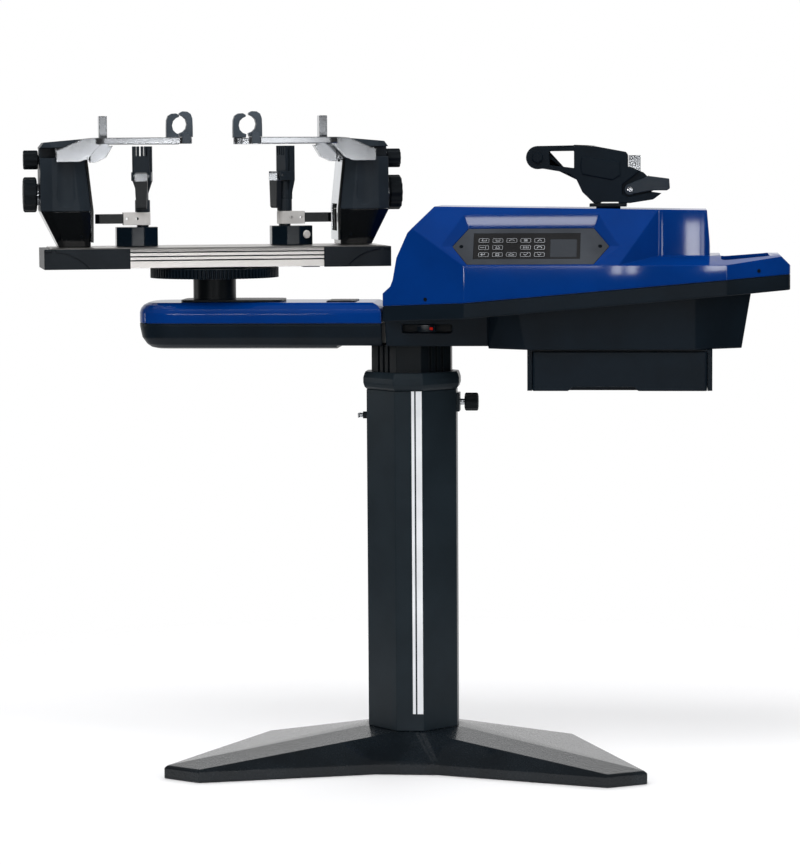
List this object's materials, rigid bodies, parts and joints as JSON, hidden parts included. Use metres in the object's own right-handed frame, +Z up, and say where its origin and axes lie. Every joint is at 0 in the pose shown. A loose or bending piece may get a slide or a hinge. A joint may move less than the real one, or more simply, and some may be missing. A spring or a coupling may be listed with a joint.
{
  "type": "racket stringing machine",
  "caption": "Floor-standing electronic racket stringing machine with turntable, string clamps and tension head.",
  "frame": {"origin": "on the floor, under the middle of the column", "axes": "+X runs from the turntable to the tension head, -Y is the front with the control panel, +Z is up"},
  "size_m": [0.9571, 0.2839, 0.8212],
  "materials": {
    "base_black": "fine leather-grain powder coat",
    "column_black": "satin blue-black coat",
    "black_plastic": "fine grain",
    "dark_steel": "satin",
    "blue_shell": "deep gloss",
    "panel_grey": "satin",
    "keypad": "glossy membrane",
    "bright_steel": "polished and brushed",
    "rail_aluminium": "satin anodised",
    "head_black": "matte",
    "gear_black": "satin",
    "tower_black": "satin",
    "tower_gloss": "gloss",
    "knob_rubber": "fine grain",
    "jaw_black": "satin"
  },
  "bodies": {
    "stand": {"base_casting": "base_black", "column_outer": "column_black", "column_collar": "black_plastic"},
    "deck": {"column_inner": "column_black", "arm_lower": "black_plastic", "arm_upper": "blue_shell", "housing_lower": "black_plastic", "housing_upper": "blue_shell", "panel_plate": "panel_grey", "keypad_overlay": "keypad", "power_inlet": "black_plastic", "drawer_cradle": "dark_steel", "tension_rail": "bright_steel", "drive_motor": "dark_steel", "turntable_post": "bright_steel"},
    "height_knob": {"height_knob": "black_plastic"},
    "thumb_screw": {"thumb_screw": "bright_steel"},
    "drawer": {"tool_drawer": "black_plastic"},
    "rocker": {"power_switch": "keypad"},
    "drive_screw": {"drive_screw": "bright_steel"},
    "carriage": {"carriage": "head_black", "head_body": "head_black"},
    "nose_wheel": {"nose_wheel": "gear_black"},
    "trigger": {"trigger_lever": "head_black"},
    "gripper_jaw": {"gripper_jaw": "bright_steel"},
    "turntable": {"gear_ring": "gear_black", "beam": "rail_aluminium", "beam_cap_left": "gear_black", "beam_cap_right": "gear_black"},
    "tower_right": {"tower_lower_right": "tower_gloss", "tower_upper_right": "tower_black", "face_plate_right": "rail_aluminium"},
    "big_knob_right": {"big_knob_right": "knob_rubber"},
    "small_knob_right": {"small_knob_right": "knob_rubber"},
    "centre_support_right": {"centre_support_right": "bright_steel"},
    "side_arm_front_right": {"side_arm_front_right": "bright_steel"},
    "frame_jaw_front_right": {"frame_jaw_front_right": "jaw_black"},
    "side_arm_back_right": {"side_arm_back_right": "bright_steel"},
    "frame_jaw_back_right": {"frame_jaw_back_right": "jaw_black"},
    "clamp_base_right": {"clamp_base_right": "head_black"},
    "lock_lever_right": {"lock_lever_right": "dark_steel"},
    "clamp_body_right": {"clamp_body_right": "head_black"},
    "clamp_jaw_right": {"clamp_jaw_right": "head_black"},
    "clamp_lever_right": {"clamp_lever_right": "head_black"},
    "tower_left": {"tower_lower_left": "tower_gloss", "tower_upper_left": "tower_black", "face_plate_left": "rail_aluminium"},
    "big_knob_left": {"big_knob_left": "knob_rubber"},
    "small_knob_left": {"small_knob_left": "knob_rubber"},
    "centre_support_left": {"centre_support_left": "bright_steel"},
    "side_arm_back_left": {"side_arm_back_left": "bright_steel"},
    "frame_jaw_back_left": {"frame_jaw_back_left": "jaw_black"},
    "side_arm_front_left": {"side_arm_front_left": "bright_steel"},
    "frame_jaw_front_left": {"frame_jaw_front_left": "jaw_black"},
    "clamp_base_left": {"clamp_base_left": "head_black"},
    "lock_lever_left": {"lock_lever_left": "dark_steel"},
    "clamp_body_left": {"clamp_body_left": "head_black"},
    "clamp_jaw_left": {"clamp_jaw_left": "head_black"},
    "clamp_lever_left": {"clamp_lever_left": "head_black"}
  },
  "joints": [
    {"name": "height_slide", "type": "slide", "parent": "stand", "child": "deck", "axis": [0, 0, 1], "range_m": [-0.025, 0.25]},
    {"name": "height_knob_turn", "type": "hinge", "parent": "stand", "child": "height_knob", "pos_m": [0.0605, 0, 0.4563], "axis": [1, 0, 0], "range_deg": [0, 540]},
    {"name": "thumb_screw_turn", "type": "hinge", "parent": "stand", "child": "thumb_screw", "pos_m": [-0.0565, 0, 0.4393], "axis": [-1, 0, 0], "range_deg": [0, 540]},
    {"name": "drawer_slide", "type": "slide", "parent": "deck", "child": "drawer", "axis": [0, -1, 0], "range_m": [0, 0.12]},
    {"name": "power_rocker", "type": "hinge", "parent": "deck", "child": "rocker", "pos_m": [0.024, -0.052, 0.5516], "axis": [0, 0, 1], "range_deg": [0, 14]},
    {"name": "screw_turn", "type": "hinge", "parent": "deck", "child": "drive_screw", "pos_m": [0.22, 0, 0.6579], "axis": [1, 0, 0], "range_deg": [-4330, 5050]},
    {"name": "carriage_slide", "type": "slide", "parent": "deck", "child": "carriage", "axis": [1, 0, 0], "range_m": [-0.06, 0.07]},
    {"name": "nose_wheel_spin", "type": "hinge", "parent": "carriage", "child": "nose_wheel", "pos_m": [0.1595, 0, 0.7619], "axis": [0, 1, 0], "continuous": true},
    {"name": "trigger_pull", "type": "hinge", "parent": "carriage", "child": "trigger", "pos_m": [0.2743, 0, 0.7219], "axis": [0, -1, 0], "range_deg": [0, 20], "stiffness_Nm_per_rad": 0.4, "springref_deg": -8.59},
    {"name": "gripper_close", "type": "slide", "parent": "carriage", "child": "gripper_jaw", "axis": [0, 1, 0], "range_m": [0, 0.0026]},
    {"name": "turntable_turn", "type": "hinge", "parent": "deck", "child": "turntable", "pos_m": [-0.25, 0, 0.6139], "axis": [0, 0, 1], "continuous": true},
    {"name": "tower_slide_right", "type": "slide", "parent": "turntable", "child": "tower_right", "axis": [0.9659, 0.2588, 0], "range_m": [-0.02, 0]},
    {"name": "big_knob_turn_right", "type": "hinge", "parent": "tower_right", "child": "big_knob_right", "pos_m": [-0.03817, 0.05676, 0.7195], "axis": [0.9659, 0.2588, 0], "range_deg": [-910, 550]},
    {"name": "centre_support_slide_right", "type": "slide", "parent": "tower_right", "child": "centre_support_right", "axis": [0.9659, 0.2588, 0], "range_m": [-0.01, 0.006]},
    {"name": "small_knob_turn_right", "type": "hinge", "parent": "tower_right", "child": "small_knob_right", "pos_m": [-0.03817, 0.05676, 0.7628], "axis": [0.9659, 0.2588, 0], "range_deg": [-530, 890]},
    {"name": "side_arm_swing_front_right", "type": "hinge", "parent": "tower_right", "child": "side_arm_front_right", "pos_m": [-0.05923, 0.02213, 0.7708], "axis": [0, 0, -1], "range_deg": [-6, 10]},
    {"name": "frame_jaw_swivel_front_right", "type": "hinge", "parent": "side_arm_front_right", "child": "frame_jaw_front_right", "pos_m": [-0.18776, -0.06614, 0.7925], "axis": [0, 0, -1], "range_deg": [-15, 15]},
    {"name": "side_arm_swing_back_right", "type": "hinge", "parent": "tower_right", "child": "side_arm_back_right", "pos_m": [-0.07372, 0.07622, 0.7708], "axis": [0, 0, 1], "range_deg": [-6, 10]},
    {"name": "frame_jaw_swivel_back_right", "type": "hinge", "parent": "side_arm_back_right", "child": "frame_jaw_back_right", "pos_m": [-0.22917, 0.0884, 0.7925], "axis": [0, 0, 1], "range_deg": [-15, 15]},
    {"name": "clamp_slide_right", "type": "slide", "parent": "turntable", "child": "clamp_base_right", "axis": [0.9659, 0.2588, 0], "range_m": [-0.065, 0.003]},
    {"name": "lock_lever_turn_right", "type": "hinge", "parent": "clamp_base_right", "child": "lock_lever_right", "pos_m": [-0.16307, 0.02329, 0.6888], "axis": [0, 0, 1], "range_deg": [0, 60]},
    {"name": "clamp_turn_right", "type": "hinge", "parent": "clamp_base_right", "child": "clamp_body_right", "pos_m": [-0.16307, 0.02329, 0.7038], "axis": [0, 0, 1], "continuous": true},
    {"name": "clamp_squeeze_right", "type": "hinge", "parent": "clamp_body_right", "child": "clamp_lever_right", "pos_m": [-0.17155, 0.01481, 0.7418], "axis": [-0.7071, 0.7071, 0], "range_deg": [0, 25]},
    {"name": "clamp_jaw_open_right", "type": "hinge", "parent": "clamp_body_right", "child": "clamp_jaw_right", "pos_m": [-0.16512, 0.02124, 0.7378], "axis": [0.7071, -0.7071, 0], "range_deg": [0, 2.6]},
    {"name": "tower_slide_left", "type": "slide", "parent": "turntable", "child": "tower_left", "axis": [-0.9659, -0.2588, 0], "range_m": [-0.02, 0]},
    {"name": "big_knob_turn_left", "type": "hinge", "parent": "tower_left", "child": "big_knob_left", "pos_m": [-0.46183, -0.05676, 0.7195], "axis": [-0.9659, -0.2588, 0], "range_deg": [-910, 550]},
    {"name": "centre_support_slide_left", "type": "slide", "parent": "tower_left", "child": "centre_support_left", "axis": [-0.9659, -0.2588, 0], "range_m": [-0.01, 0.006]},
    {"name": "small_knob_turn_left", "type": "hinge", "parent": "tower_left", "child": "small_knob_left", "pos_m": [-0.46183, -0.05676, 0.7628], "axis": [-0.9659, -0.2588, 0], "range_deg": [-530, 890]},
    {"name": "side_arm_swing_back_left", "type": "hinge", "parent": "tower_left", "child": "side_arm_back_left", "pos_m": [-0.44077, -0.02213, 0.7708], "axis": [0, 0, -1], "range_deg": [-6, 10]},
    {"name": "frame_jaw_swivel_back_left", "type": "hinge", "parent": "side_arm_back_left", "child": "frame_jaw_back_left", "pos_m": [-0.31224, 0.06614, 0.7925], "axis": [0, 0, -1], "range_deg": [-15, 15]},
    {"name": "side_arm_swing_front_left", "type": "hinge", "parent": "tower_left", "child": "side_arm_front_left", "pos_m": [-0.42628, -0.07622, 0.7708], "axis": [0, 0, 1], "range_deg": [-6, 10]},
    {"name": "frame_jaw_swivel_front_left", "type": "hinge", "parent": "side_arm_front_left", "child": "frame_jaw_front_left", "pos_m": [-0.27083, -0.0884, 0.7925], "axis": [0, 0, 1], "range_deg": [-15, 15]},
    {"name": "clamp_slide_left", "type": "slide", "parent": "turntable", "child": "clamp_base_left", "axis": [-0.9659, -0.2588, 0], "range_m": [-0.065, 0.003]},
    {"name": "lock_lever_turn_left", "type": "hinge", "parent": "clamp_base_left", "child": "lock_lever_left", "pos_m": [-0.33693, -0.02329, 0.6888], "axis": [0, 0, 1], "range_deg": [0, 60]},
    {"name": "clamp_turn_left", "type": "hinge", "parent": "clamp_base_left", "child": "clamp_body_left", "pos_m": [-0.33693, -0.02329, 0.7038], "axis": [0, 0, 1], "continuous": true},
    {"name": "clamp_squeeze_left", "type": "hinge", "parent": "clamp_body_left", "child": "clamp_lever_left", "pos_m": [-0.33589, -0.03525, 0.7418], "axis": [-0.9962, -0.0872, 0], "range_deg": [0, 25]},
    {"name": "clamp_jaw_open_left", "type": "hinge", "parent": "clamp_body_left", "child": "clamp_jaw_left", "pos_m": [-0.33668, -0.02618, 0.7378], "axis": [0.9962, 0.0872, 0], "range_deg": [0, 2.6]}
  ],
  "couplings": [
    {"joint": "screw_turn", "follows": "carriage_slide", "rad_per_m": 1256.6},
    {"joint": "gripper_close", "follows": "trigger_pull", "m_per_rad": 0.007},
    {"joint": "big_knob_turn_right", "follows": "centre_support_slide_right", "rad_per_m": 1570.8},
    {"joint": "side_arm_swing_front_right", "follows": "small_knob_turn_right", "ratio": 0.011111},
    {"joint": "side_arm_swing_back_right", "follows": "small_knob_turn_right", "ratio": 0.011111},
    {"joint": "clamp_jaw_open_right", "follows": "clamp_squeeze_right", "ratio": 0.1},
    {"joint": "big_knob_turn_left", "follows": "centre_support_slide_left", "rad_per_m": 1570.8},
    {"joint": "side_arm_swing_back_left", "follows": "small_knob_turn_left", "ratio": 0.011111},
    {"joint": "side_arm_swing_front_left", "follows": "small_knob_turn_left", "ratio": 0.011111},
    {"joint": "clamp_jaw_open_left", "follows": "clamp_squeeze_left", "ratio": 0.1}
  ]
}
